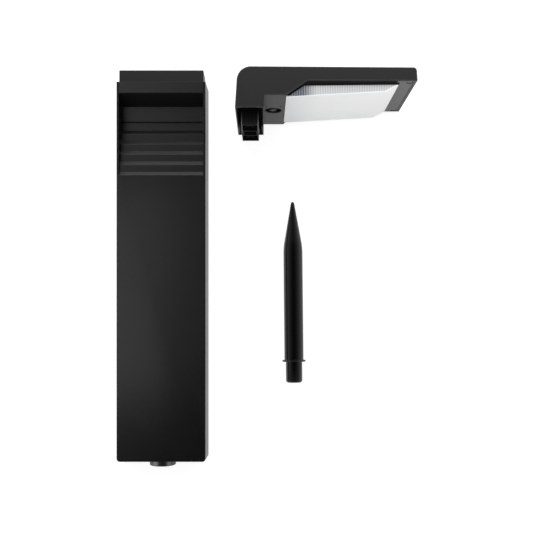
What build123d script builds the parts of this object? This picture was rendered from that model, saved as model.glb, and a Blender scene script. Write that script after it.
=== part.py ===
from build123d import *
import math
import os

# Solar spike light, taken apart and laid on a table: column on its back, lamp head on its side, ground spike.
# Millimetres. The origin is on the table, in the middle of the layout. +X runs along the head's arm, +Y runs
# up the column and +Z points away from the table.

# Layout on the table
layout_gap = 27.8
head_drop = 18.9
spike_drop = 63.9
spike_setback = 50.9
spike_turn = 0.5

# Column
post_width = 80.0
post_height = 341.4
post_depth = 24.6
post_draft = 1.9
post_wall = 2.0
foot_radius = 3.0
post_edge_round = 1.0
cover_thickness = 2.0
cover_gap = 0.2
cover_rib_width = 1.6
cover_rib_height = 4.0
cover_rib_spacing = 36.0
cover_boss_width = 9.0
cover_boss_height = 4.0
shell_boss_width = 6.6
cover_screw_low = 40.0
cover_screw_drop = 24.5

# Louvred niche in the column's front
lintel_height = 10.0
ceiling_drop = 8.1
niche_depth = 14.0
niche_wall_height = 13.7
groove_height = 1.8
groove_depth = 1.4
louvre_count = 5
louvre_pitch = 10.1
louvre_chamfer = 3.8
panel_thickness = 2.4
panel_gap = 0.1

# Neck that carries the head
neck_height = 11.6
neck_wall = 2.0
neck_clear = 2.5
neck_slip = 0.2
neck_lead_in = 0.6

# Socket and ground spike
boss_diameter = 23.8
boss_height = 4.3
boss_bevel = 0.6
socket_tube_diameter = 20.0
socket_hole_gap = 0.2
socket_floor = 2.0
socket_spare_depth = 3.0
tang_clearance = 0.2
tang_diameter = 15.0
tang_length = 19.0
tang_bevel = 1.4
collar_diameter = 21.7
collar_thickness = 1.9
collar_bevel = 0.75
spike_diameter = 17.5
spike_body_length = 103.2
spike_cone_length = 42.0
spike_tip_diameter = 2.8
spike_tip_bevel = 0.7
spike_shoulder_bevel = 3.0

# Head housing
head_length = 149.5
arm_depth = 11.8
arm_taper = 1.0
deep_depth = 23.7
deep_length = 41.6
slant_length = 18.0
leg_depth = 33.6
leg_thickness = 23.6
leg_back_wall = 2.0
leg_lead_in = 1.3
back_lean = 2.1
tip_lean = 0.7
top_radius = 11.5
tip_radius = 3.0
head_wall = 1.8
head_edge_bevel = 0.8
seat_gap = 0.3

# Solar panel in the head's top
solar_start = 25.0
solar_length = 120.0
solar_width = 68.0
solar_recess = 3.2
solar_floor = 1.6
solar_gap = 0.3
gasket_thickness = 0.6
gasket_width = 3.0
backing_thickness = 1.0
cell_sheet_thickness = 0.3
glass_thickness = 1.1
solar_cell_count = 10
solar_cell_gap = 0.8
solar_margin = 5.0

# Lamp frame, diffuser and light source
frame_thickness = 2.0
frame_corner_radius = 1.0
frame_groove_width = 0.9
frame_groove_depth = 1.2
rail_thickness = 1.4
rail_inset = 0.9
rail_relief = 0.35
frame_screw_inset = 3.4
frame_screw_from_tip = 5.6
frame_screw_bite = 3.0
frame_boss_width = 6.0
diffuser_inset = 5.4
diffuser_wall = 1.6
diffuser_gap = 0.5
diffuser_rim_drop = 2.6
diffuser_end_drop = 1.7
diffuser_slant_drop = 0.85
diffuser_lip = 1.2
diffuser_knee_x = 123.7
diffuser_knee_depth = 19.3
diffuser_end_x = 135.0
diffuser_round = 1.2
flute_pitch = 2.02
flute_depth = 0.7
flute_margin = 3.5
led_board_length = 66.0
led_board_width = 52.0
led_board_thickness = 1.2
led_length = 3.5
led_width = 2.8
led_height = 0.7
led_columns = 3
led_rows = 2
led_column_pitch = 23.0
led_row_pitch = 26.0

# Battery
battery_diameter = 14.2
battery_length = 50.0
battery_nub_diameter = 5.5
battery_nub_height = 1.0
battery_x = 13.2
battery_gap = 0.1
holder_floor = 1.0
holder_wall = 1.2
holder_end_wall = 1.2
contact_room = 2.4
contact_height = 9.0
contact_width = 7.0
contact_thickness = 0.35

# Button, switch and control board
button_x = 31.8
button_hole_diameter = 14.0
button_hole_chamfer = 0.5
button_diameter = 7.8
button_recess = 0.3
button_bevel = 1.1
button_flange_diameter = 15.6
button_flange_thickness = 1.2
button_travel = 1.5
button_spare = 0.4
button_rest_gap = 0.1
seal_thickness = 0.8
seal_diameter = 16.0
mark_diameter = 1.6
mark_depth = 0.4
mark_spread = 6.0
mark_offset = 11.0
switch_size = 8.0
switch_height = 6.0
switch_corner = 0.8
plunger_diameter = 3.4
plunger_clearance = 0.1
plunger_reach = 3.0
board_length = 52.0
board_width = 14.6
board_thickness = 1.2
board_boss_width = 5.0
board_boss_spread = 21.0
board_screw_bite = 3.0
inductor_diameter = 6.0
inductor_height = 5.0
chip_length = 5.0
chip_width = 4.0
chip_height = 1.5
component_spread = 12.5

# Snap plug in the head's leg
plug_length = 47.0
plug_fit = 0.3
plug_wall = 1.1
plug_flange_thickness = 2.0
plug_flange_gap = 0.3
plug_rib_thickness = 1.2
plug_flute_width = 1.9
plug_flute_depth = 0.6
plug_flute_count = 4
latch_width = 15.0
latch_wall = 2.2
hook_reach = 0.8
hook_height = 2.2
hook_gap = 0.3
plug_boss_width = 5.0
plug_boss_height = 8.0
plug_boss_web = 2.0
plug_screw_inset = 4.6
plug_screw_bite = 5.0

# Small screws
screw_head_diameter = 4.6
screw_head_height = 1.4
screw_shank_diameter = 2.2
screw_pilot_gap = 0.05
screw_head_gap = 0.3
screw_pilot_spare = 1.0
cover_screw_sink = 0.4
cover_screw_bite = 6.0

# Length by which a cut runs past the surface that it opens
overcut = 1.0

# Sizes that follow from the ones above
head_width = post_width
inner_half = post_width / 2 - post_wall
neck_insert = lintel_height - neck_clear
niche_height = lintel_height + ceiling_drop + niche_wall_height + groove_height + louvre_count * louvre_pitch
post_back_width = post_width + 2 * post_depth * math.tan(math.radians(post_draft))
layout_width = post_back_width + layout_gap + head_length
layout_length = boss_height + post_height + neck_height
post_x = -layout_width / 2 + post_back_width / 2
post_y = -layout_length / 2 + boss_height
head_x = layout_width / 2 - head_length
head_y = layout_length / 2 - head_drop
leg_inner_front = leg_thickness - head_wall
plug_x = (leg_back_wall + leg_inner_front) / 2
neck_back = leg_back_wall + neck_slip
neck_front = leg_inner_front - neck_slip
bore_back = neck_back + neck_wall
bore_front = neck_front - neck_wall
bore_half = head_width / 2 - head_wall - neck_slip - neck_wall
slant_end = deep_length + slant_length
inner_low = head_wall
inner_high = head_width - head_wall
middle = head_width / 2
compartment_back = back_lean + head_wall
tip_inner = head_length - tip_lean - head_wall
bulkhead_back = deep_length - head_wall
floor_top = -deep_depth + head_wall
flange_bottom = -leg_depth + neck_height + plug_flange_gap
flange_top = flange_bottom + plug_flange_thickness
frame_bottom = -arm_depth
frame_top = frame_bottom + frame_thickness
top_run = head_length - tip_lean - back_lean
top_angle = math.degrees(math.atan2(arm_taper, top_run))
ceiling_depth = solar_recess + solar_floor
screw_pilot = screw_shank_diameter / 2 + screw_pilot_gap
screw_head_hole = screw_head_diameter / 2 + screw_head_gap
frame_screw_x = head_length - frame_screw_from_tip
frame_screw_z = head_wall + frame_screw_inset
diffuser_start = deep_length + diffuser_gap
diffuser_rim = frame_bottom - diffuser_rim_drop
diffuser_end = frame_bottom - diffuser_end_drop
slant_slope = (deep_depth - arm_depth) / slant_length
diffuser_lip_top = -deep_depth + diffuser_lip
diffuser_lip_x = deep_length + (diffuser_slant_drop + diffuser_lip) / slant_slope
diffuser_rim_x = diffuser_lip_x + (diffuser_rim - diffuser_lip_top) / slant_slope
seal_top = floor_top + seal_thickness
button_flange_low = seal_top + button_rest_gap
button_flange_high = button_flange_low + button_flange_thickness
switch_low = button_flange_high + button_travel + button_spare
board_low = switch_low + switch_height
board_high = board_low + board_thickness
plunger_top = switch_low + plunger_reach
battery_y = flange_top + holder_floor + battery_gap + battery_diameter / 2
holder_half = battery_length / 2 + contact_room + holder_end_wall
hook_top = -leg_depth - neck_insert - hook_gap
plug_end = hook_top - hook_height
socket_depth = tang_length + socket_spare_depth
spike_shoulder = tang_length + collar_thickness + spike_body_length
spike_length = spike_shoulder + spike_cone_length


def block(x_low, x_high, y_low, y_high, z_low, z_high):
    """A box between two corners."""
    centre = Pos((x_low + x_high) / 2, (y_low + y_high) / 2, (z_low + z_high) / 2)
    return centre * Box(x_high - x_low, y_high - y_low, z_high - z_low)


def pin_along_y(x, z, y_low, y_high, radius):
    """A round pin that runs along Y."""
    return Pos(x, (y_low + y_high) / 2, z) * Rot(90, 0, 0) * Cylinder(radius, y_high - y_low)


def pin_along_z(x, y, z_low, z_high, radius):
    """A round pin that runs along Z."""
    return Pos(x, y, (z_low + z_high) / 2) * Cylinder(radius, z_high - z_low)


def post_along_y(x, z, y_low, y_high, width):
    """A square post that runs along Y."""
    half = width / 2
    return block(x - half, x + half, y_low, y_high, z - half, z + half)


def post_along_z(x, y, z_low, z_high, width):
    """A square post that runs along Z."""
    half = width / 2
    return block(x - half, x + half, y - half, y + half, z_low, z_high)


def prism(points, z_low, z_high):
    """A closed outline in the XY plane, raised from one height to another."""
    outline = make_face(Polyline(*points, close=True))
    return Pos(0, 0, z_low) * extrude(outline, amount=z_high - z_low, dir=(0, 0, 1))


def round_corner(outline, point, radius):
    """Rounds the corner of a flat outline that lies nearest to a point."""
    return fillet(outline.vertices().sort_by_distance((point[0], point[1], 0))[0], radius)


def bevel_corner(outline, point, length):
    """Bevels the corner of a flat outline that lies nearest to a point."""
    return chamfer(outline.vertices().sort_by_distance((point[0], point[1], 0))[0], length)


def turned(points, bevels=()):
    """A solid turned about the Y axis from points of radius and height, with some corners bevelled."""
    outline = make_face(Polyline(*points, close=True))
    for point, length in bevels:
        outline = bevel_corner(outline, point, length)
    return revolve(outline, Axis.Y)


def small_screw(length):
    """A flat-topped screw whose head rests on y = 0 and whose shank points along +Y."""
    head_radius = screw_head_diameter / 2
    shank_radius = screw_shank_diameter / 2
    points = [
        (0, -screw_head_height),
        (head_radius, -screw_head_height),
        (head_radius, 0),
        (shank_radius, 0),
        (shank_radius, length),
        (0, length),
    ]
    return turned(points)


def top_height(x):
    """Height of the head's sloping top above a place along the arm."""
    return -arm_taper * (x - back_lean) / top_run


def on_top(shape):
    """Moves a shape from the top's own frame, with y = 0 on its surface, to the head's frame."""
    return Pos(back_lean, 0, 0) * Rot(0, 0, -top_angle) * shape


# Column


def cover_screw_places():
    """Places of the rear cover's screws, on its centre line."""
    high = post_height - niche_height - cover_screw_drop
    return [(0, cover_screw_low), (0, high)]


def make_post_shell():
    section = [
        (-post_back_width / 2, 0),
        (post_back_width / 2, 0),
        (post_width / 2, post_depth),
        (-post_width / 2, post_depth),
    ]
    outline = make_face(Plane.XZ * Polyline(*section, close=True))
    shell = extrude(outline, amount=post_height, dir=(0, 1, 0))
    foot = shell.faces().sort_by(Axis.Y)[0].edges().sort_by(Axis.X)
    shell = fillet([foot[0], foot[-1]], foot_radius)
    front = shell.faces().sort_by(Axis.Z)[-1]
    shell = fillet(front.edges().sort_by(Axis.Y)[:-1], post_edge_round)
    top = post_height + overcut
    hollow = block(-inner_half, inner_half, post_wall, top, -overcut, post_depth - post_wall)
    mouth_foot = post_height - niche_height
    mouth = block(-inner_half, inner_half, mouth_foot, top, 0, post_depth + overcut)
    shell = shell - hollow - mouth
    for x, y in cover_screw_places():
        boss = post_along_z(x, y, cover_boss_height, post_depth - post_wall / 2, shell_boss_width)
        pilot_top = cover_boss_height + cover_screw_bite + screw_pilot_spare
        shell = shell + boss - pin_along_z(x, y, cover_boss_height - overcut, pilot_top, screw_pilot)
    socket_hole = pin_along_y(
        0, post_depth / 2, -overcut, post_wall + overcut, socket_tube_diameter / 2 + socket_hole_gap
    )
    return shell - socket_hole


def make_rear_cover():
    reach = inner_half - cover_gap
    low = post_wall + cover_gap
    cover = block(-reach, reach, low, post_height, 0, cover_thickness)
    rib_low = low + boss_diameter
    rib_high = post_height - niche_height
    for side in (-1, 1):
        rib_x = side * cover_rib_spacing / 2
        half = cover_rib_width / 2
        cover = cover + block(
            rib_x - half, rib_x + half, rib_low, rib_high, 0, cover_thickness + cover_rib_height
        )
    for x, y in cover_screw_places():
        sink = cover_screw_sink + screw_head_height
        cover = cover + post_along_z(x, y, 0, cover_boss_height, cover_boss_width)
        cover = cover - pin_along_z(x, y, -overcut, sink, screw_head_hole)
        cover = cover - pin_along_z(x, y, -overcut, cover_boss_height + overcut, screw_pilot)
    return cover


def make_cover_screws():
    screws = []
    seat = cover_screw_sink + screw_head_height
    length = cover_boss_height - seat + cover_screw_bite
    for x, y in cover_screw_places():
        screws.append(Pos(x, y, seat) * Rot(90, 0, 0) * small_screw(length))
    return Compound(children=screws)


def make_louvre_panel():
    back = post_depth - niche_depth
    step = niche_depth / louvre_count
    height = post_height
    face = [(height, post_depth)]
    height -= lintel_height
    face.append((height, post_depth))
    height -= ceiling_drop
    face.append((height, back))
    height -= niche_wall_height
    groove_top = height
    height -= groove_height
    groove_foot = height
    depth = back
    stairs = []
    for _ in range(louvre_count):
        height -= louvre_pitch - louvre_chamfer
        stairs.append((height, depth))
        height -= louvre_chamfer
        depth += step
        stairs.append((height, depth))
    rear = [(y, z - panel_thickness) for y, z in face + stairs]
    groove = [
        (groove_top, back),
        (groove_top, back - groove_depth),
        (groove_foot, back - groove_depth),
        (groove_foot, back),
    ]
    outline = make_face(Polyline(*face, *groove, *stairs, *reversed(rear), close=True))
    return extrude(Plane.YZ * outline, amount=inner_half - panel_gap, both=True)


def make_neck_collar():
    insert = block(
        -inner_half + panel_gap,
        inner_half - panel_gap,
        post_height - neck_insert,
        post_height,
        cover_thickness + panel_gap,
        post_depth - panel_thickness - panel_gap,
    )
    spigot_half = bore_half + neck_wall
    spigot = block(
        -spigot_half, spigot_half, post_height, post_height + neck_height, neck_back, neck_front
    )
    crown = spigot.faces().sort_by(Axis.Y)[-1]
    spigot = chamfer(crown.edges(), neck_lead_in)
    bore = block(
        -bore_half,
        bore_half,
        post_height - neck_insert - overcut,
        post_height + neck_height + overcut,
        bore_back,
        bore_front,
    )
    return insert + spigot - bore


def make_spike_socket():
    boss_radius = boss_diameter / 2
    tube_radius = socket_tube_diameter / 2
    bore_radius = tang_diameter / 2 + tang_clearance
    tube_top = socket_depth + socket_floor - boss_height
    points = [
        (bore_radius, -boss_height),
        (boss_radius, -boss_height),
        (boss_radius, 0),
        (tube_radius, 0),
        (tube_radius, tube_top),
        (0, tube_top),
        (0, tube_top - socket_floor),
        (bore_radius, tube_top - socket_floor),
    ]
    socket = turned(points, [((boss_radius, -boss_height), boss_bevel)])
    return Pos(0, 0, post_depth / 2) * socket


# Ground spike


def make_ground_spike():
    tang_radius = tang_diameter / 2
    collar_radius = collar_diameter / 2
    body_radius = spike_diameter / 2
    tip_radius_end = spike_tip_diameter / 2
    collar_top = tang_length + collar_thickness
    points = [
        (0, 0),
        (tang_radius, 0),
        (tang_radius, tang_length),
        (collar_radius, tang_length),
        (collar_radius, collar_top),
        (body_radius, collar_top),
        (body_radius, spike_shoulder),
        (tip_radius_end, spike_length),
        (0, spike_length),
    ]
    bevels = [
        ((tang_radius, 0), tang_bevel),
        ((collar_radius, tang_length), collar_bevel),
        ((collar_radius, collar_top), collar_bevel),
        ((body_radius, spike_shoulder), spike_shoulder_bevel),
        ((tip_radius_end, spike_length), spike_tip_bevel),
    ]
    return turned(points, bevels)


def lay_spike(spike):
    """Lays the spike on its collar and on the shoulder of its cone."""
    rise = (collar_diameter - spike_diameter) / 2
    rim = tang_length + collar_thickness - collar_bevel
    run = spike_shoulder - spike_shoulder_bevel - rim
    lean = math.degrees(math.atan2(rise, run))
    lift = collar_diameter / 2 * math.cos(math.radians(lean)) + rim * math.sin(math.radians(lean))
    axis_x = head_x + spike_setback
    tip_y = head_y - leg_depth - spike_drop
    foot_x = axis_x + spike_length / 2 * math.sin(math.radians(spike_turn))
    foot_y = tip_y - spike_length
    return Pos(foot_x, foot_y, lift) * Rot(0, 0, spike_turn) * Rot(-lean, 0, 0) * spike


# Lamp head


def make_head_housing():
    back_corner = (back_lean, 0)
    tip_corner = (head_length - tip_lean, -arm_taper)
    corners = [
        (0, -leg_depth),
        back_corner,
        tip_corner,
        (head_length, -arm_depth),
        (slant_end, -arm_depth),
        (deep_length, -deep_depth),
        (leg_thickness, -deep_depth),
        (leg_thickness, -leg_depth),
    ]
    outline = make_face(Polyline(*corners, close=True))
    outline = round_corner(outline, back_corner, top_radius)
    outline = round_corner(outline, tip_corner, tip_radius)
    body = extrude(outline, amount=head_width, dir=(0, 0, 1))
    sides = body.faces().sort_by(Axis.Z)
    body = chamfer(sides[0].edges() + sides[-1].edges(), head_edge_bevel)
    body = body - head_hollow()
    body = body - on_top(
        block(
            solar_start - solar_gap,
            solar_start + solar_length + solar_gap,
            -solar_recess,
            overcut,
            middle - solar_width / 2 - solar_gap,
            middle + solar_width / 2 + solar_gap,
        )
    )
    hole_radius = button_hole_diameter / 2
    body = body - pin_along_y(button_x, middle, -deep_depth - overcut, floor_top + overcut, hole_radius)
    bevel = Pos(button_x, -deep_depth + button_hole_chamfer / 2, middle) * Rot(90, 0, 0)
    body = body - bevel * Cone(hole_radius, hole_radius + button_hole_chamfer, button_hole_chamfer)
    for side in (-1, 1):
        mark_x = button_x + side * mark_spread
        mark_z = middle + mark_offset
        mark_top = -deep_depth + mark_depth
        body = body - pin_along_y(mark_x, mark_z, -deep_depth - overcut, mark_top, mark_diameter / 2)
        body = body + frame_boss(side) + plug_boss(side) + board_boss(side)
        body = body - frame_pilot(side) - plug_pilot(side) - board_pilot(side)
    return body


def head_hollow():
    """The hollow of the head: battery and board compartment, arm and leg in one cut."""
    step_x = solar_start - solar_gap - solar_floor
    corner = (compartment_back, -head_wall)
    points = [
        (leg_back_wall - leg_lead_in, -leg_depth - overcut),
        (leg_back_wall - leg_lead_in, -leg_depth),
        (leg_back_wall, -leg_depth + leg_lead_in),
        (leg_back_wall, flange_top),
        (compartment_back, flange_top),
        corner,
        (step_x, top_height(step_x) - head_wall),
        (step_x, top_height(step_x) - ceiling_depth),
        (tip_inner, top_height(tip_inner) - ceiling_depth),
        (tip_inner, -arm_depth - overcut),
        (slant_end, -arm_depth - overcut),
        (slant_end, -deep_depth - overcut),
        (deep_length, -deep_depth - overcut),
        (deep_length, frame_bottom),
        (bulkhead_back, frame_bottom),
        (bulkhead_back, floor_top),
        (leg_inner_front, floor_top),
        (leg_inner_front, -leg_depth + leg_lead_in),
        (leg_inner_front + leg_lead_in, -leg_depth),
        (leg_inner_front + leg_lead_in, -leg_depth - overcut),
    ]
    outline = make_face(Polyline(*points, close=True))
    outline = round_corner(outline, corner, top_radius - head_wall)
    return Pos(0, 0, inner_low) * extrude(outline, amount=inner_high - inner_low, dir=(0, 0, 1))


def frame_boss(side):
    z = middle + side * (middle - frame_screw_z)
    ceiling = top_height(frame_screw_x) - ceiling_depth
    return post_along_y(frame_screw_x, z, frame_top, ceiling + solar_floor / 2, frame_boss_width)


def frame_pilot(side):
    z = middle + side * (middle - frame_screw_z)
    pilot_top = frame_top + frame_screw_bite + screw_pilot_spare
    return pin_along_y(frame_screw_x, z, frame_top - overcut, pilot_top, screw_pilot)


def plug_boss(side):
    z = middle + side * (middle - plug_screw_inset)
    top = flange_top + plug_boss_height
    boss = post_along_y(plug_x, z, flange_top, top, plug_boss_width)
    wall = middle + side * (middle - head_wall / 2)
    half = plug_boss_web / 2
    return boss + block(plug_x - half, plug_x + half, flange_top, top, min(z, wall), max(z, wall))


def plug_pilot(side):
    z = middle + side * (middle - plug_screw_inset)
    pilot_top = flange_top + plug_screw_bite + screw_pilot_spare
    return pin_along_y(plug_x, z, flange_top - overcut, pilot_top, screw_pilot)


def board_boss(side):
    ceiling = top_height(button_x) - ceiling_depth
    z = middle + side * board_boss_spread
    return post_along_y(button_x, z, board_high, ceiling + solar_floor / 2, board_boss_width)


def board_pilot(side):
    z = middle + side * board_boss_spread
    pilot_top = board_high + board_screw_bite + screw_pilot_spare
    return pin_along_y(button_x, z, board_high - overcut, pilot_top, screw_pilot)


def make_lamp_frame():
    length = tip_inner - deep_length - 2 * seat_gap
    width = inner_high - inner_low - 2 * seat_gap
    plate = Box(length, frame_thickness, width)
    plate = fillet(plate.edges().filter_by(Axis.Y), frame_corner_radius)
    frame = Pos((tip_inner + deep_length) / 2, (frame_top + frame_bottom) / 2, middle) * plate
    rail = [(diffuser_start, frame_bottom), *diffuser_rim_points(), (diffuser_end_x, frame_bottom)]
    low = diffuser_inset + rail_inset
    high = head_width - low
    frame = frame + prism(rail, low, low + rail_thickness)
    frame = frame + prism(rail, high - rail_thickness, high)
    cross_low = diffuser_rim + rail_relief
    frame = frame + block(
        diffuser_start, diffuser_start + rail_thickness, cross_low, frame_bottom, low, high
    )
    frame = frame - block(
        diffuser_end_x,
        diffuser_end_x + frame_groove_width,
        frame_bottom - overcut,
        frame_bottom + frame_groove_depth,
        diffuser_inset,
        head_width - diffuser_inset,
    )
    for side in (-1, 1):
        z = middle + side * (middle - frame_screw_z)
        sink = frame_bottom + screw_head_height
        low = frame_bottom - overcut
        frame = frame - pin_along_y(frame_screw_x, z, low, sink, screw_head_hole)
        frame = frame - pin_along_y(frame_screw_x, z, low, frame_top + overcut, screw_pilot)
    return frame


def make_frame_screws():
    seat = frame_bottom + screw_head_height
    length = frame_top - seat + frame_screw_bite
    screws = []
    for side in (-1, 1):
        z = middle + side * (middle - frame_screw_z)
        screws.append(Pos(frame_screw_x, seat, z) * small_screw(length))
    return Compound(children=screws)


def diffuser_profile(shrink):
    """Side outline of the diffuser, drawn in from its bottom by a wall thickness."""
    start = diffuser_start + shrink
    knee_slope = (deep_depth - diffuser_knee_depth) / (diffuser_knee_x - diffuser_start)
    end_slope = (diffuser_knee_depth + diffuser_end) / (diffuser_end_x - diffuser_knee_x)
    lift = shrink * math.hypot(1, knee_slope)
    end_lift = shrink * math.hypot(1, end_slope)
    knee_x = diffuser_knee_x - (end_lift - lift) / (end_slope - knee_slope)
    knee_y = -diffuser_knee_depth + knee_slope * (knee_x - diffuser_knee_x) + lift
    end_x = diffuser_end_x - end_lift / end_slope
    return start, -deep_depth + lift + knee_slope * shrink, knee_x, knee_y, end_x


def diffuser_rim_points():
    """Upper edge of the diffuser's side walls, which follows the housing's slant and then its arm."""
    return [
        (diffuser_start, diffuser_lip_top),
        (diffuser_lip_x, diffuser_lip_top),
        (diffuser_rim_x, diffuser_rim),
        (diffuser_end_x, diffuser_end),
    ]


def make_diffuser():
    low = diffuser_inset
    high = head_width - diffuser_inset
    start, foot, knee_x, knee_y, end_x = diffuser_profile(0)
    tray = prism([(knee_x, knee_y), (start, foot), *diffuser_rim_points()], low, high)
    faces = tray.faces().sort_by(Axis.Z)
    lower = []
    for edge in faces[0].edges() + faces[-1].edges():
        reach = [math.hypot(end.X - knee_x, end.Y - knee_y) for end in edge.vertices()]
        if min(reach) < diffuser_round:
            lower.append(edge)
    tray = fillet(lower, diffuser_round)
    start, foot, knee_x, knee_y, end_x = diffuser_profile(diffuser_wall)
    inner = [
        (start, frame_bottom),
        (start, foot),
        (knee_x, knee_y),
        (end_x, diffuser_end),
        (end_x, frame_bottom),
    ]
    tray = tray - prism(inner, low + diffuser_wall, high - diffuser_wall)
    return tray - diffuser_flutes(inner, knee_x)


def diffuser_flutes(inner, knee_x):
    """Upright flutes in the inner face of both side walls, as one comb-shaped cut."""
    low = diffuser_inset + diffuser_wall
    high = head_width - low
    first = diffuser_start + flute_margin
    count = int((knee_x - flute_margin - first) / flute_pitch)
    near = []
    far = []
    for index in range(count):
        x = first + index * flute_pitch
        near += [(x, low), (x + flute_pitch / 2, low - flute_depth)]
        far += [(x, high), (x + flute_pitch / 2, high + flute_depth)]
    last = first + count * flute_pitch
    outline = make_face(Polyline(*near, (last, low), (last, high), *reversed(far), close=True))
    comb = Pos(0, frame_bottom, 0) * Rot(90, 0, 0) * extrude(outline, amount=deep_depth, dir=(0, 0, 1))
    reach = prism(inner, low - flute_depth, high + flute_depth)
    return comb & reach


def led_board_start():
    return diffuser_start + (diffuser_knee_x - diffuser_start - led_board_length) / 2


def make_led_board():
    start = led_board_start()
    half = led_board_width / 2
    return block(
        start,
        start + led_board_length,
        frame_bottom - led_board_thickness,
        frame_bottom,
        middle - half,
        middle + half,
    )


def make_leds():
    centre_x = led_board_start() + led_board_length / 2
    high = frame_bottom - led_board_thickness
    leds = []
    for column in range(led_columns):
        for row in range(led_rows):
            x = centre_x + (column - (led_columns - 1) / 2) * led_column_pitch
            z = middle + (row - (led_rows - 1) / 2) * led_row_pitch
            leds.append(
                block(
                    x - led_length / 2,
                    x + led_length / 2,
                    high - led_height,
                    high,
                    z - led_width / 2,
                    z + led_width / 2,
                )
            )
    return Compound(children=leds)


# Solar panel


def solar_layer(low, high, inset):
    """A sheet of the solar panel between two depths under the head's top."""
    half = solar_width / 2 - inset
    return block(
        solar_start + inset, solar_start + solar_length - inset, low, high, middle - half, middle + half
    )


def make_panel_gasket():
    low = -solar_recess
    high = low + gasket_thickness
    ring = solar_layer(low, high, 0) - solar_layer(low - overcut, high + overcut, gasket_width)
    return on_top(ring)


def backing_top():
    return -solar_recess + gasket_thickness + backing_thickness


def make_solar_backing():
    return on_top(solar_layer(-solar_recess + gasket_thickness, backing_top(), 0))


def make_solar_cells():
    low = backing_top()
    span = solar_length - 2 * solar_margin
    pitch = span / solar_cell_count
    half = solar_width / 2 - solar_margin
    cells = []
    for index in range(solar_cell_count):
        start = solar_start + solar_margin + index * pitch
        cell = block(
            start + solar_cell_gap / 2,
            start + pitch - solar_cell_gap / 2,
            low,
            low + cell_sheet_thickness,
            middle - half,
            middle + half,
        )
        cells.append(on_top(cell))
    return Compound(children=cells)


def make_solar_glass():
    low = backing_top() + cell_sheet_thickness
    return on_top(solar_layer(low, low + glass_thickness, 0))


# Battery


def make_battery_cell():
    radius = battery_diameter / 2
    body_length = battery_length - battery_nub_height
    points = [
        (0, 0),
        (radius, 0),
        (radius, body_length),
        (battery_nub_diameter / 2, body_length),
        (battery_nub_diameter / 2, battery_length),
        (0, battery_length),
    ]
    bevels = [((radius, 0), battery_nub_height / 2), ((radius, body_length), battery_nub_height / 2)]
    cell = turned(points, bevels)
    return Pos(battery_x, battery_y, middle - battery_length / 2) * Rot(90, 0, 0) * cell


def make_battery_holder():
    radius = battery_diameter / 2 + battery_gap
    half = radius + holder_wall
    wall_top = battery_y + contact_height / 2
    body = block(
        battery_x - half, battery_x + half, flange_top, battery_y, middle - holder_half, middle + holder_half
    )
    trough_half = holder_half - holder_end_wall
    trough = pin_along_z(battery_x, battery_y, middle - trough_half, middle + trough_half, radius)
    body = body - trough
    post_half = contact_width / 2 + holder_wall
    for side in (-1, 1):
        z = middle + side * (holder_half - holder_end_wall / 2)
        body = body + block(
            battery_x - post_half,
            battery_x + post_half,
            battery_y,
            wall_top,
            z - holder_end_wall / 2,
            z + holder_end_wall / 2,
        )
    return body


def make_contact(side):
    """A bowed leaf between the holder's end wall and the cell."""
    wall = holder_half - holder_end_wall
    bow = contact_room - battery_gap
    half = contact_height / 2 - battery_gap
    outer = ThreePointArc((-half, wall), (0, wall - bow), (half, wall))
    inner_half_height = half - contact_thickness
    inner = ThreePointArc(
        (-inner_half_height, wall), (0, wall - bow + contact_thickness), (inner_half_height, wall)
    )
    ends = [Line(outer @ 0, inner @ 0), Line(outer @ 1, inner @ 1)]
    leaf = make_face([outer, inner, *ends])
    strip = extrude(Plane.YZ * leaf, amount=contact_width / 2, both=True)
    if side < 0:
        strip = mirror(strip, about=Plane.XY)
    return Pos(battery_x, battery_y, middle) * strip


# Button, switch and board


def make_button_seal():
    ring = pin_along_y(button_x, middle, floor_top, seal_top, seal_diameter / 2)
    hole = pin_along_y(button_x, middle, floor_top - overcut, seal_top + overcut, button_hole_diameter / 2)
    return ring - hole


def make_button_cap():
    radius = button_diameter / 2
    flange = button_flange_diameter / 2
    face = -deep_depth + button_recess
    points = [
        (0, face),
        (radius, face),
        (radius, button_flange_low),
        (flange, button_flange_low),
        (flange, button_flange_high),
        (0, button_flange_high),
    ]
    return Pos(button_x, 0, middle) * turned(points, [((radius, face), button_bevel)])


def make_switch_plunger():
    return pin_along_y(button_x, middle, button_flange_high, plunger_top, plunger_diameter / 2)


def make_push_switch():
    half = switch_size / 2
    body = block(button_x - half, button_x + half, switch_low, board_low, middle - half, middle + half)
    body = chamfer(body.edges().filter_by(Axis.Y), switch_corner)
    well_top = plunger_top + button_travel + button_spare
    radius = plunger_diameter / 2 + plunger_clearance
    return body - pin_along_y(button_x, middle, switch_low - overcut, well_top, radius)


def make_control_board():
    half = board_width / 2
    board = block(
        button_x - half,
        button_x + half,
        board_low,
        board_high,
        middle - board_length / 2,
        middle + board_length / 2,
    )
    for side in (-1, 1):
        z = middle + side * board_boss_spread
        board = board - pin_along_y(button_x, z, board_low - overcut, board_high + overcut, screw_pilot)
    return board


def make_board_screws():
    screws = []
    for side in (-1, 1):
        z = middle + side * board_boss_spread
        screws.append(Pos(button_x, board_low, z) * small_screw(board_thickness + board_screw_bite))
    return Compound(children=screws)


def make_board_components():
    inductor = pin_along_y(
        button_x, middle - component_spread, board_low - inductor_height, board_low, inductor_diameter / 2
    )
    chip = block(
        button_x - chip_width / 2,
        button_x + chip_width / 2,
        board_low - chip_height,
        board_low,
        middle + component_spread - chip_length / 2,
        middle + component_spread + chip_length / 2,
    )
    return Compound(children=[inductor, chip])


# Snap plug


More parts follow.
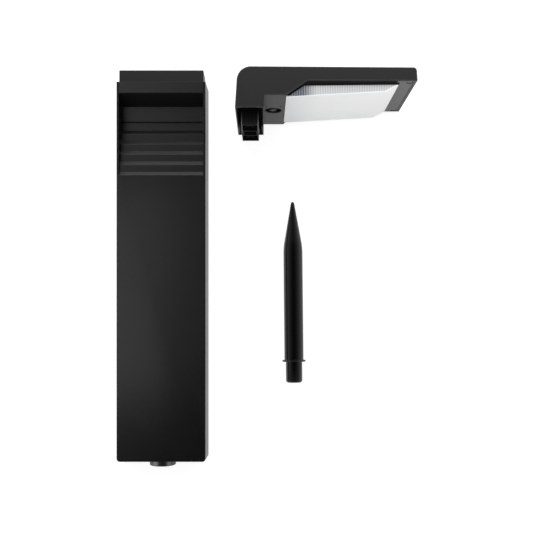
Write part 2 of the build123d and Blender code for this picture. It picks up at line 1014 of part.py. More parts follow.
def make_neck_plug():
    half = (bore_front - bore_back) / 2 - plug_fit
    z_low = middle - plug_length / 2
    z_high = middle + plug_length / 2
    plug = block(
        leg_back_wall + seat_gap,
        leg_inner_front - seat_gap,
        flange_bottom,
        flange_top,
        inner_low + seat_gap,
        inner_high - seat_gap,
    )
    plug = plug + block(plug_x - half, plug_x + half, plug_end, flange_bottom, z_low, z_high)
    latch_half = latch_width / 2
    for side in (-1, 1):
        plug = plug - plug_cell(side, half, latch_half)
        plug = plug + plug_braces(side, half, latch_half)
        plug = plug + latch_hook(side, half, latch_half)
        plug = plug - plug_flutes(side)
        z = middle + side * (middle - plug_screw_inset)
        plug = plug - pin_along_y(plug_x, z, flange_bottom - overcut, flange_top + overcut, screw_pilot)
    slit = half - latch_wall
    slit_half = latch_half - latch_wall
    slot_low = plug_end - overcut
    return plug - block(
        plug_x - slit, plug_x + slit, slot_low, flange_bottom, middle - slit_half, middle + slit_half
    )


def plug_cell_reach(side, latch_half):
    """Ends of the open cell beside the latch, from the latch outwards."""
    inner = middle + side * latch_half
    outer = middle + side * (plug_length / 2 - plug_wall)
    return min(inner, outer), max(inner, outer)


def plug_cell(side, half, latch_half):
    z_low, z_high = plug_cell_reach(side, latch_half)
    reach = half - plug_wall
    return block(plug_x - reach, plug_x + reach, plug_end - overcut, flange_bottom, z_low, z_high)


def plug_braces(side, half, latch_half):
    """Crossed ribs inside one open cell."""
    z_low, z_high = plug_cell_reach(side, latch_half)
    reach = half - plug_wall
    width = z_high - z_low
    angle = math.degrees(math.atan2(width, 2 * reach))
    span = math.hypot(width, 2 * reach)
    height = flange_bottom - plug_end - hook_height
    cell = block(plug_x - reach, plug_x + reach, plug_end, flange_bottom, z_low, z_high)
    place = Pos(plug_x, flange_bottom - height / 2, (z_low + z_high) / 2)
    cross = place * Rot(0, angle, 0) * Box(span, height, plug_rib_thickness)
    cross = cross + place * Rot(0, -angle, 0) * Box(span, height, plug_rib_thickness)
    return cross & cell


def latch_hook(side, half, latch_half):
    """The wedge that snaps under the neck on one face of the plug."""
    face = plug_x + side * half
    wedge = [
        (face, plug_end),
        (face + side * hook_reach, hook_top),
        (face, hook_top),
    ]
    return prism(wedge, middle - latch_half, middle + latch_half)


def plug_flutes(side):
    """Shallow upright flutes in one end face of the plug."""
    end = middle + side * plug_length / 2
    pitch = (bore_front - bore_back - 2 * plug_fit) / plug_flute_count
    cuts = []
    for index in range(plug_flute_count):
        x = plug_x + (index - (plug_flute_count - 1) / 2) * pitch
        half = plug_flute_width / 2
        cuts.append(
            block(
                x - half,
                x + half,
                plug_end + hook_height,
                flange_bottom,
                end - plug_flute_depth,
                end + plug_flute_depth,
            )
        )
    return Compound(children=cuts)


def make_plug_screws():
    screws = []
    for side in (-1, 1):
        z = middle + side * (middle - plug_screw_inset)
        screws.append(Pos(plug_x, flange_bottom, z) * small_screw(plug_flange_thickness + plug_screw_bite))
    return Compound(children=screws)


# Pieces by name, each placed in the layout


def in_post(shape):
    return Pos(post_x, post_y, 0) * shape


def in_head(shape):
    return Pos(head_x, head_y, 0) * shape


pieces = {
    "post_shell": in_post(make_post_shell()),
    "rear_cover": in_post(make_rear_cover()),
    "cover_screws": in_post(make_cover_screws()),
    "louvre_panel": in_post(make_louvre_panel()),
    "neck_collar": in_post(make_neck_collar()),
    "spike_socket": in_post(make_spike_socket()),
    "ground_spike": lay_spike(make_ground_spike()),
    "head_housing": in_head(make_head_housing()),
    "lamp_frame": in_head(make_lamp_frame()),
    "frame_screws": in_head(make_frame_screws()),
    "diffuser": in_head(make_diffuser()),
    "led_board": in_head(make_led_board()),
    "leds": in_head(make_leds()),
    "panel_gasket": in_head(make_panel_gasket()),
    "solar_backing": in_head(make_solar_backing()),
    "solar_cells": in_head(make_solar_cells()),
    "solar_glass": in_head(make_solar_glass()),
    "battery_cell": in_head(make_battery_cell()),
    "battery_holder": in_head(make_battery_holder()),
    "contact_positive": in_head(make_contact(1)),
    "contact_negative": in_head(make_contact(-1)),
    "button_seal": in_head(make_button_seal()),
    "button_cap": in_head(make_button_cap()),
    "switch_plunger": in_head(make_switch_plunger()),
    "push_switch": in_head(make_push_switch()),
    "control_board": in_head(make_control_board()),
    "board_screws": in_head(make_board_screws()),
    "board_components": in_head(make_board_components()),
    "neck_plug": in_head(make_neck_plug()),
    "plug_screws": in_head(make_plug_screws()),
}

os.makedirs("parts", exist_ok=True)
for name, shape in pieces.items():
    export_step(shape, f"parts/{name}.step")
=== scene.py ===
"""Solar spike light in three groups on a pale table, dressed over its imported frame."""

import math
from typing import NamedTuple

import bmesh
import bpy
from bpy.props import FloatProperty, FloatVectorProperty, PointerProperty
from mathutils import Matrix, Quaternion, Vector


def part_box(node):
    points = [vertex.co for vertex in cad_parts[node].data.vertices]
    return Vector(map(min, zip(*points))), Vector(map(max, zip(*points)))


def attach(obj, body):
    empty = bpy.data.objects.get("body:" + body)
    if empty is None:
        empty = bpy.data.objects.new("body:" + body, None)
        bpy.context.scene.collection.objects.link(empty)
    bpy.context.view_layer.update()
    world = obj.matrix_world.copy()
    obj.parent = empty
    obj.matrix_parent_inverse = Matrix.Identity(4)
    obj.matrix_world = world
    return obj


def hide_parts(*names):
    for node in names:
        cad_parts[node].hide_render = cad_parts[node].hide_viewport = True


bl_info = {
    "name": "Solar Spike Light",
    "version": (1, 0, 0),
    "blender": (4, 5, 0),
    "location": "View3D > Sidebar > Spike Light",
    "description": "Dresses the column, lamp head and ground spike of a solar light",
    "category": "Object",
}

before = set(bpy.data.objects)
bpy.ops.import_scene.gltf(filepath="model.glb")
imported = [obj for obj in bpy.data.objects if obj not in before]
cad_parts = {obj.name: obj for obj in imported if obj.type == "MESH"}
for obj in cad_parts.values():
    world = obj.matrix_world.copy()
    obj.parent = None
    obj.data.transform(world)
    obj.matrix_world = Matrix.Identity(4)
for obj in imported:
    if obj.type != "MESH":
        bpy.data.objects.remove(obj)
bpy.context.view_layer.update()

MM = 0.001

# Corners of a copied CAD node that are closer than this are joined
SEAM_GAP = 0.002 * MM

# Triangles that meet flatter than this become one face
FLAT_ANGLE = math.radians(0.2)

# Edges that turn less than this are shaded smooth
SMOOTH_ANGLE = math.radians(25)
SPIKE_SMOOTH_ANGLE = math.radians(50)
SCREW_SMOOTH_ANGLE = math.radians(40)

# Sharp edges longer than this many edge widths are softened
LONG_EDGE = 6.0

# A face looks along an axis if its normal's part along that axis is larger than this
FACING = 0.8

# Level round which a noise texture swings
NOISE_MIDDLE = 0.5

# Distances from the snap plug's middle beyond which its ends take a painted light near the leg's mouth and
# its corners take a painted highlight
PLUG_END = 22.8 * MM
PLUG_EDGE = 6.45 * MM


# Sizes and colours that a user would change


class FinishSettings(bpy.types.PropertyGroup):
    """Colours and surface of the moulded pieces."""

    column_colour: FloatVectorProperty(
        name="Column Colour",
        description="Black plastic of the column",
        subtype="COLOR",
        size=4,
        min=0.0,
        max=1.0,
        default=(0.0080, 0.0080, 0.0082, 1.0),
    )
    head_colour: FloatVectorProperty(
        name="Head Colour",
        description="Black plastic of the lamp head",
        subtype="COLOR",
        size=4,
        min=0.0,
        max=1.0,
        default=(0.0085, 0.0085, 0.0087, 1.0),
    )
    spike_colour: FloatVectorProperty(
        name="Spike Colour",
        description="Smooth black plastic of the ground spike",
        subtype="COLOR",
        size=4,
        min=0.0,
        max=1.0,
        default=(0.0045, 0.0045, 0.0047, 1.0),
    )
    diffuser_colour: FloatVectorProperty(
        name="Diffuser Colour",
        description="Milky plastic of the diffuser",
        subtype="COLOR",
        size=4,
        min=0.0,
        max=1.0,
        default=(0.90, 0.905, 0.91, 1.0),
    )
    silicon_colour: FloatVectorProperty(
        name="Cell Colour",
        description="Dark blue of the solar cells",
        subtype="COLOR",
        size=4,
        min=0.0,
        max=1.0,
        default=(0.006, 0.010, 0.028, 1.0),
    )
    grain_size: FloatProperty(
        name="Grain Size",
        description="Width of one grain of the mould texture",
        unit="LENGTH",
        min=0.0001,
        default=0.55 * MM,
    )
    rib_pitch: FloatProperty(
        name="Rib Pitch",
        description="Distance between the upright ribs of the diffuser",
        unit="LENGTH",
        min=0.0005,
        default=2.02 * MM,
    )
    edge_round: FloatProperty(
        name="Edge Round",
        description="Width of the soft edge on moulded pieces",
        unit="LENGTH",
        min=0.0,
        default=0.25 * MM,
    )


class ScrewSettings(bpy.types.PropertyGroup):
    """Sizes of the small pan-head screws."""

    head_height: FloatProperty(
        name="Head Height",
        description="Height of the head over its seat",
        unit="LENGTH",
        min=0.0001,
        default=1.4 * MM,
    )
    shank_width: FloatProperty(
        name="Shank Width",
        description="Width of the shank over its ridges",
        unit="LENGTH",
        min=0.0001,
        default=2.2 * MM,
    )
    thread_pitch: FloatProperty(
        name="Thread Pitch",
        description="Distance between the ridges of the shank",
        unit="LENGTH",
        min=0.0001,
        default=0.9 * MM,
    )
    recess_width: FloatProperty(
        name="Recess Width",
        description="Span of the cross recess in the head",
        unit="LENGTH",
        min=0.0001,
        default=2.5 * MM,
    )
    recess_depth: FloatProperty(
        name="Recess Depth",
        description="Depth of the cross recess",
        unit="LENGTH",
        min=0.0001,
        default=0.9 * MM,
    )


class StageSettings(bpy.types.PropertyGroup):
    """Camera, lamps and the light of the tent."""

    camera_height: FloatProperty(
        name="Camera Height",
        description="Height of the camera over the table",
        unit="LENGTH",
        default=0.642,
    )
    camera_lens: FloatProperty(
        name="Lens",
        description="Focal length in millimetres",
        unit="CAMERA",
        default=46.47,
    )
    top_power: FloatProperty(
        name="Top Power",
        description="Power of the wide soft lamps beyond the head and the column",
        unit="POWER",
        default=3.7,
    )
    side_power: FloatProperty(
        name="Side Power",
        description="Power of the soft lamps beside the column and its socket",
        unit="POWER",
        default=0.52,
    )
    sky_power: FloatProperty(
        name="Sky Power",
        description="Power of the faint lamps over the column",
        unit="POWER",
        default=0.17,
    )
    back_power: FloatProperty(
        name="Back Power",
        description="Power of the low lamp that lights the louvres",
        unit="POWER",
        default=3.8,
    )
    fill_power: FloatProperty(
        name="Fill Power",
        description="Power of the lamps on the diffuser's side of the head",
        unit="POWER",
        default=13.5,
    )
    surround: FloatProperty(
        name="Surround",
        description="Brightness of the pale tent round the table",
        min=0.0,
        default=1.0,
    )


# Small helpers


def deselect():
    """Leaves edit mode and deselects everything."""
    if bpy.context.mode != "OBJECT":
        bpy.ops.object.mode_set(mode="OBJECT")
    bpy.ops.object.select_all(action="DESELECT")


def focus(piece):
    """Selects one object alone and makes it active."""
    deselect()
    piece.select_set(True)
    bpy.context.view_layer.objects.active = piece


def dress(node, material):
    """Gives a CAD node its material."""
    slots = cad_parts[node].data.materials
    slots.clear()
    slots.append(material)


def mark_long_edges(piece, shortest):
    """Gives a bevel weight to the sharp outer edges of a piece that are longer than a length."""
    shape = bmesh.new()
    shape.from_mesh(piece.data)
    chosen = [
        edge.index
        for edge in shape.edges
        if edge.calc_length() > shortest and edge.calc_face_angle_signed(0.0) > SMOOTH_ANGLE
    ]
    shape.free()
    weights = piece.data.attributes.new("bevel_weight_edge", "FLOAT", "EDGE")
    for index in chosen:
        weights.data[index].value = 1.0


def smooth_copy(node, piece_name, body, material, edge=0.0, angle=SMOOTH_ANGLE):
    """Copies a CAD node, joins its triangles, softens its edges and lets the copy stand for it."""
    focus(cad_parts[node])
    bpy.ops.object.duplicate()
    piece = bpy.context.active_object
    piece.name = piece_name
    for key in list(piece.keys()):
        del piece[key]
    bpy.ops.mesh.customdata_custom_splitnormals_clear()
    bpy.ops.object.mode_set(mode="EDIT")
    bpy.ops.mesh.select_all(action="SELECT")
    bpy.ops.mesh.remove_doubles(threshold=SEAM_GAP)
    bpy.ops.mesh.dissolve_limited(angle_limit=FLAT_ANGLE)
    bpy.ops.object.mode_set(mode="OBJECT")
    bpy.ops.object.shade_smooth_by_angle(angle=angle)
    if edge > 0:
        mark_long_edges(piece, edge * LONG_EDGE)
        bevel = piece.modifiers.new("Soft Edge", "BEVEL")
        bevel.width = edge
        bevel.segments = 2
        bevel.limit_method = "WEIGHT"
        bevel.harden_normals = True
        bevel.use_clamp_overlap = True
        bpy.ops.object.modifier_apply(modifier=bevel.name)
    piece.data.materials.clear()
    piece.data.materials.append(material)
    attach(piece, body)
    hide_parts(node)
    return piece


# Small screws


def pull_ring(rise, factor):
    """Extrudes the selected face along Z and resizes it about the screw's axis."""
    bpy.ops.mesh.extrude_region_move(TRANSFORM_OT_translate={"value": (0.0, 0.0, rise)})
    bpy.ops.transform.resize(value=(factor, factor, 1.0), center_override=(0.0, 0.0, 0.0))


def model_recess(screw):
    """The cross-shaped cutter of the recess, which narrows towards its foot."""
    top = screw.head_height
    deselect()
    bpy.ops.mesh.primitive_cube_add(size=1.0, location=(0.0, 0.0, top))
    cutter = bpy.context.active_object
    cutter.name = "recess_cutter"
    arm = 0.26 * screw.recess_width
    foot = (0.45, 0.6, 1.0)
    bpy.ops.object.mode_set(mode="EDIT")
    bpy.ops.mesh.select_all(action="SELECT")
    size = (screw.recess_width, arm, 2 * screw.recess_depth)
    bpy.ops.transform.resize(value=size, center_override=(0.0, 0.0, top))
    bpy.ops.mesh.select_mode(type="FACE")
    bpy.ops.mesh.select_all(action="DESELECT")
    bpy.ops.object.mode_set(mode="OBJECT")
    for face in cutter.data.polygons:
        face.select = face.normal.z < -0.5
    bpy.ops.object.mode_set(mode="EDIT")
    bpy.ops.transform.resize(value=foot, center_override=(0.0, 0.0, top))
    bpy.ops.mesh.select_all(action="SELECT")
    bpy.ops.mesh.duplicate()
    bpy.ops.transform.rotate(value=math.radians(90), orient_axis="Z", center_override=(0.0, 0.0, top))
    bpy.ops.object.mode_set(mode="OBJECT")
    bpy.ops.object.transform_apply(location=True, rotation=True, scale=True)
    return cutter


def model_screw(name, screw, head_radius, length):
    """A pan-head screw on the Z axis, its seat at zero and its ridged shank below."""
    shank = screw.shank_width / 2
    # Shares of the shank's radius, of a ridge's rise, and of the head's height and width
    core = 0.78
    tip = 0.35
    slope = 0.35
    crest = 0.15
    dome = ((0.42, 1.0), (0.22, 0.94), (0.16, 0.88), (0.12, 0.80), (0.08, 0.66))
    deselect()
    bpy.ops.mesh.primitive_circle_add(
        vertices=32, radius=tip * shank, fill_type="NGON", location=(0.0, 0.0, 0.0)
    )
    piece = bpy.context.active_object
    piece.name = name
    bpy.ops.object.mode_set(mode="EDIT")
    bpy.ops.mesh.select_all(action="SELECT")
    bpy.ops.transform.translate(value=(0.0, 0.0, -length))
    point = 0.8 * screw.shank_width
    pull_ring(point, core / tip)
    ridges = max(1, int((length - point) / screw.thread_pitch))
    rise = (length - point) / ridges
    for _ in range(ridges):
        pull_ring(slope * rise, 1.0 / core)
        pull_ring(crest * rise, 1.0)
        pull_ring(slope * rise, core)
        pull_ring(crest * rise, 1.0)
    pull_ring(0.0, head_radius / (core * shank))
    for share, factor in dome:
        pull_ring(share * screw.head_height, factor)
    bpy.ops.mesh.select_all(action="SELECT")
    bpy.ops.mesh.normals_make_consistent(inside=False)
    bpy.ops.object.mode_set(mode="OBJECT")
    cutter = model_recess(screw)
    focus(piece)
    recess = piece.modifiers.new("Cross Recess", "BOOLEAN")
    recess.operation = "DIFFERENCE"
    recess.solver = "EXACT"
    recess.use_self = True
    recess.object = cutter
    bpy.ops.object.modifier_apply(modifier=recess.name)
    bpy.ops.object.shade_smooth_by_angle(angle=SCREW_SMOOTH_ANGLE)
    piece.data.materials.clear()
    piece.data.materials.append(bpy.data.materials["Screw Steel"])
    bpy.data.objects.remove(cutter)
    return piece


def drive_screws(master, places, turn, node, body):
    """Copies a screw to its places, each turned further, and lets the copies stand for a CAD node."""
    degrees = 35
    for number, place in enumerate(places, 1):
        focus(master)
        bpy.ops.object.duplicate()
        piece = bpy.context.active_object
        piece.name = f"{master.name}_{number}"
        piece.location = place
        piece.rotation_mode = "ZYX"
        piece.rotation_euler = (turn, 0.0, math.radians(degrees * number))
        bpy.ops.object.transform_apply(location=True, rotation=True, scale=True)
        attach(piece, body)
        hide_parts(node)
    bpy.data.objects.remove(master)


# Shader groups


def new_group(name, inputs, outputs):
    """An empty shader group with float or colour sockets."""
    group = bpy.data.node_groups.new(name, "ShaderNodeTree")
    for label, kind, value in inputs:
        socket = group.interface.new_socket(label, in_out="INPUT", socket_type=kind)
        socket.default_value = value
    for label, kind in outputs:
        group.interface.new_socket(label, in_out="OUTPUT", socket_type=kind)
    start = group.nodes.new("NodeGroupInput")
    end = group.nodes.new("NodeGroupOutput")
    return group, start, end


def math_node(tree, operation, first, second):
    """A math node whose inputs are sockets or numbers."""
    node = tree.nodes.new("ShaderNodeMath")
    node.operation = operation
    for index, value in enumerate((first, second)):
        if isinstance(value, (int, float)):
            node.inputs[index].default_value = value
        else:
            tree.links.new(value, node.inputs[index])
    return node.outputs[0]


def noise_node(tree, vector, scale, detail, roughness=0.55):
    """A noise texture, its scale a socket or a number."""
    node = tree.nodes.new("ShaderNodeTexNoise")
    tree.links.new(vector, node.inputs["Vector"])
    if isinstance(scale, (int, float)):
        node.inputs["Scale"].default_value = scale
    else:
        tree.links.new(scale, node.inputs["Scale"])
    node.inputs["Detail"].default_value = detail
    node.inputs["Roughness"].default_value = roughness
    return node.outputs["Fac"]


def mix_colours(tree, share, first, second):
    """A mix of two colours, each a socket or a plain colour."""
    node = tree.nodes.new("ShaderNodeMix")
    node.data_type = "RGBA"
    tree.links.new(share, node.inputs["Factor"])
    for label, colour in (("A", first), ("B", second)):
        if isinstance(colour, bpy.types.NodeSocket):
            tree.links.new(colour, node.inputs[label])
        else:
            node.inputs[label].default_value = colour
    return node.outputs["Result"]


def split_vector(tree, vector):
    """The X, Y and Z sockets of a vector."""
    node = tree.nodes.new("ShaderNodeSeparateXYZ")
    tree.links.new(vector, node.inputs["Vector"])
    return node.outputs


def build_mould_grain():
    """Fine spark-eroded mould texture: a height, and a roughness that varies with it and with handling."""
    group, start, end = new_group(
        "Mould Grain",
        [
            ("Scale", "NodeSocketFloat", 1800.0),
            ("Roughness", "NodeSocketFloat", 0.5),
            ("Variation", "NodeSocketFloat", 0.12),
        ],
        [("Height", "NodeSocketFloat"), ("Roughness", "NodeSocketFloat")],
    )
    coords = group.nodes.new("ShaderNodeTexCoord").outputs["Object"]
    pit_share = 0.6
    speck_share = 0.5
    grain = noise_node(group, coords, start.outputs["Scale"], detail=3.0, roughness=0.6)
    cells = group.nodes.new("ShaderNodeTexVoronoi")
    cells.feature = "SMOOTH_F1"
    group.links.new(coords, cells.inputs["Vector"])
    group.links.new(start.outputs["Scale"], cells.inputs["Scale"])
    pits = math_node(group, "MULTIPLY", cells.outputs["Distance"], pit_share)
    height = math_node(group, "ADD", grain, pits)
    group.links.new(height, end.inputs["Height"])
    clouds = noise_node(group, coords, scale=22.0, detail=5.0, roughness=0.6)
    spread = math_node(group, "SUBTRACT", clouds, NOISE_MIDDLE)
    specks = math_node(group, "SUBTRACT", grain, NOISE_MIDDLE)
    mixed = math_node(group, "ADD", spread, math_node(group, "MULTIPLY", specks, speck_share))
    offset = math_node(group, "MULTIPLY", mixed, start.outputs["Variation"])
    group.links.new(math_node(group, "ADD", start.outputs["Roughness"], offset), end.inputs["Roughness"])


def build_settled_dust():
    """A thin veil of pale dust in patches and specks."""
    group, start, end = new_group(
        "Settled Dust",
        [
            ("Colour", "NodeSocketColor", (0.01, 0.01, 0.01, 1.0)),
            ("Dust", "NodeSocketColor", (0.18, 0.17, 0.16, 1.0)),
            ("Amount", "NodeSocketFloat", 0.02),
        ],
        [("Colour", "NodeSocketColor")],
    )
    coords = group.nodes.new("ShaderNodeTexCoord").outputs["Object"]
    patches = noise_node(group, coords, scale=60.0, detail=6.0, roughness=0.65)
    specks = noise_node(group, coords, scale=900.0, detail=2.0, roughness=0.5)
    veil = math_node(group, "MULTIPLY", patches, specks)
    mask = math_node(group, "MULTIPLY", veil, start.outputs["Amount"])
    mixed = mix_colours(group, mask, start.outputs["Colour"], start.outputs["Dust"])
    group.links.new(mixed, end.inputs["Colour"])


def build_fine_scratches():
    """Short hairline marks, as a mask."""
    group, start, end = new_group(
        "Fine Scratches",
        [("Scale", "NodeSocketFloat", 90.0), ("Stretch", "NodeSocketFloat", 0.06)],
        [("Mask", "NodeSocketFloat")],
    )
    coords = group.nodes.new("ShaderNodeTexCoord").outputs["Object"]
    stretch = group.nodes.new("ShaderNodeCombineXYZ")
    stretch.inputs["X"].default_value = 1.0
    group.links.new(start.outputs["Stretch"], stretch.inputs["Y"])
    stretch.inputs["Z"].default_value = 1.0
    scaled = group.nodes.new("ShaderNodeVectorMath")
    scaled.operation = "MULTIPLY"
    group.links.new(coords, scaled.inputs[0])
    group.links.new(stretch.outputs["Vector"], scaled.inputs[1])
    threshold = 0.62
    gain = 6.0
    lines = noise_node(group, scaled.outputs["Vector"], start.outputs["Scale"], detail=8.0, roughness=0.75)
    high = math_node(group, "SUBTRACT", lines, threshold)
    mask = math_node(group, "MULTIPLY", math_node(group, "MAXIMUM", high, 0.0), gain)
    group.links.new(math_node(group, "MINIMUM", mask, 1.0), end.inputs["Mask"])


# Materials


def new_material(name, slot_colour):
    """A material with one Principled shader and a plain colour for the viewport."""
    material = bpy.data.materials.new(name)
    material.use_nodes = True
    material.diffuse_color = slot_colour
    tree = material.node_tree
    shader = tree.nodes["Principled BSDF"]
    shader.inputs["Base Color"].default_value = slot_colour
    return material, tree, shader


def scaled_colour(colour, factor):
    """A colour made darker or lighter, still opaque."""
    return [channel * factor for channel in colour[:3]] + [1.0]


def place_group(tree, group, **values):
    """Puts a shader group into a material with its own values."""
    node = tree.nodes.new("ShaderNodeGroup")
    node.node_tree = group
    for label, value in values.items():
        node.inputs[label].default_value = value
    return node


def bump_from(tree, shader, height, distance):
    """Feeds a height to the shader's normal."""
    bump = tree.nodes.new("ShaderNodeBump")
    bump.inputs["Distance"].default_value = distance
    bump.inputs["Strength"].default_value = 1.0
    tree.links.new(height, bump.inputs["Height"])
    tree.links.new(bump.outputs["Normal"], shader.inputs["Normal"])


def tint_share(tree, shader, share, tint):
    """Mixes a second colour over the one that feeds the shader."""
    first = shader.inputs["Base Color"].links[0].from_socket
    tree.links.new(mix_colours(tree, share, first, tint), shader.inputs["Base Color"])


def tone_ramp(tree, share, stops):
    """A ramp of grey levels along a share from 0 to 1."""
    ramp = tree.nodes.new("ShaderNodeValToRGB")
    elements = ramp.color_ramp.elements
    ends = (stops[0], stops[-1])
    for element, (position, level) in zip(elements, ends):
        element.position = position
        element.color = (level, level, level, 1.0)
    for position, level in stops[1:-1]:
        elements.new(position).color = (level, level, level, 1.0)
    tree.links.new(share, ramp.inputs["Fac"])
    return ramp.outputs["Color"]


def moulded_plastic(name, colour, grain_size, roughness, depth, dust=0.02, gloss=0.5):
    """Black moulded plastic with its mould grain and a little dust."""
    material, tree, shader = new_material(name, colour)
    shader.inputs["Specular IOR Level"].default_value = gloss
    grain = place_group(
        tree, bpy.data.node_groups["Mould Grain"], Scale=1.0 / grain_size, Roughness=roughness, Variation=0.12
    )
    veil = place_group(tree, bpy.data.node_groups["Settled Dust"], Colour=colour, Amount=dust)
    tree.links.new(veil.outputs["Colour"], shader.inputs["Base Color"])
    tree.links.new(grain.outputs["Roughness"], shader.inputs["Roughness"])
    bump_from(tree, shader, grain.outputs["Height"], depth)
    return material


def plated_plastic(name, colour, plate_reflection_colour, grain_size):
    """Dark plastic whose end plate, which faces the ground, is painted paler: a painted reflection of the
    bright floor.
    """
    material = moulded_plastic(name, colour, grain_size, roughness=0.40, depth=0.015 * MM)
    tree = material.node_tree
    shader = tree.nodes["Principled BSDF"]
    coords = tree.nodes.new("ShaderNodeTexCoord")
    facing = split_vector(tree, coords.outputs["Normal"])
    place = split_vector(tree, coords.outputs["Object"])
    overlap = 1.5 * MM
    plate_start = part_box("diffuser")[1].x - overlap
    # Faces that look along -Y beyond the diffuser's end, the end plate, take the paler colour: a painted
    # reflection
    down = math_node(tree, "LESS_THAN", facing["Y"], -FACING)
    beyond = math_node(tree, "GREATER_THAN", place["X"], plate_start)
    tint_share(tree, shader, math_node(tree, "MULTIPLY", down, beyond), plate_reflection_colour)
    return material


def plug_plastic(name, colour, mouth_light_colour, highlight_colour, grain_size):
    """Black plastic of the snap plug, with painted light on its ends near the leg's mouth that fades deeper
    in, and painted highlights along its corners.
    """
    material = moulded_plastic(name, colour, grain_size, roughness=0.62, depth=0.02 * MM, gloss=0.07)
    tree = material.node_tree
    shader = tree.nodes["Principled BSDF"]
    low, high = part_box("neck_plug")
    middle = (low + high) / 2
    mouth_light_reach = 12.0 * MM
    highlight_reach = 24.0 * MM
    fade_start = 10.0 * MM
    fade_length = 22.0 * MM
    place = split_vector(tree, tree.nodes.new("ShaderNodeTexCoord").outputs["Object"])
    # Painted light: the plug's ends are paler near the leg's mouth and fade to black deeper in
    rise = math_node(tree, "SUBTRACT", place["Y"], low.y)
    near = math_node(tree, "DIVIDE", rise, mouth_light_reach)
    lit_mouth = tone_ramp(tree, near, ((0.0, 1.0), (0.5, 0.3), (0.9, 0.0)))
    offset = math_node(tree, "SUBTRACT", place["Z"], middle.z)
    outer = math_node(tree, "GREATER_THAN", math_node(tree, "ABSOLUTE", offset, 0.0), PLUG_END)
    tint_share(tree, shader, math_node(tree, "MULTIPLY", lit_mouth, outer), mouth_light_colour)
    # Painted highlight: the plug's corners are paler near the mouth and on their upper part
    across = math_node(tree, "SUBTRACT", place["X"], middle.x)
    edge = math_node(tree, "GREATER_THAN", math_node(tree, "ABSOLUTE", across, 0.0), PLUG_EDGE)
    depth = math_node(tree, "DIVIDE", rise, highlight_reach)
    highlight_fade = tone_ramp(tree, depth, ((0.0, 1.0), (0.06, 0.9), (0.30, 0.25), (0.5, 0.0)))
    height = math_node(tree, "DIVIDE", math_node(tree, "ADD", offset, fade_start), fade_length)
    upper = tone_ramp(tree, height, ((0.0, 0.0), (1.0, 1.0)))
    worn_and_sheen = math_node(tree, "MULTIPLY", math_node(tree, "MULTIPLY", edge, upper), highlight_fade)
    tint_share(tree, shader, worn_and_sheen, highlight_colour)
    return material


def highlit_rubber(name, colour, highlight_colour, grain_size):
    """Black rubber of the push button, the middle of its cap painted paler as a painted highlight."""
    material = moulded_plastic(name, colour, grain_size, roughness=0.55, depth=0.02 * MM, gloss=0.25)
    tree = material.node_tree
    shader = tree.nodes["Principled BSDF"]
    low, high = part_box("button_cap")
    middle = (low + high) / 2
    cap_radius = 4.0 * MM
    place = split_vector(tree, tree.nodes.new("ShaderNodeTexCoord").outputs["Object"])
    across = math_node(tree, "SUBTRACT", place["X"], middle.x)
    along = math_node(tree, "SUBTRACT", place["Z"], middle.z)
    across = math_node(tree, "MULTIPLY", across, across)
    along = math_node(tree, "MULTIPLY", along, along)
    radius = math_node(tree, "POWER", math_node(tree, "ADD", across, along), 0.5)
    share = math_node(tree, "DIVIDE", radius, cap_radius)
    # Painted highlight: the middle of the cap is paler and the rim stays black
    wear_and_sheen = tone_ramp(tree, share, ((0.35, 1.0), (0.65, 0.15), (0.85, 0.0)))
    tint_share(tree, shader, wear_and_sheen, highlight_colour)
    return material


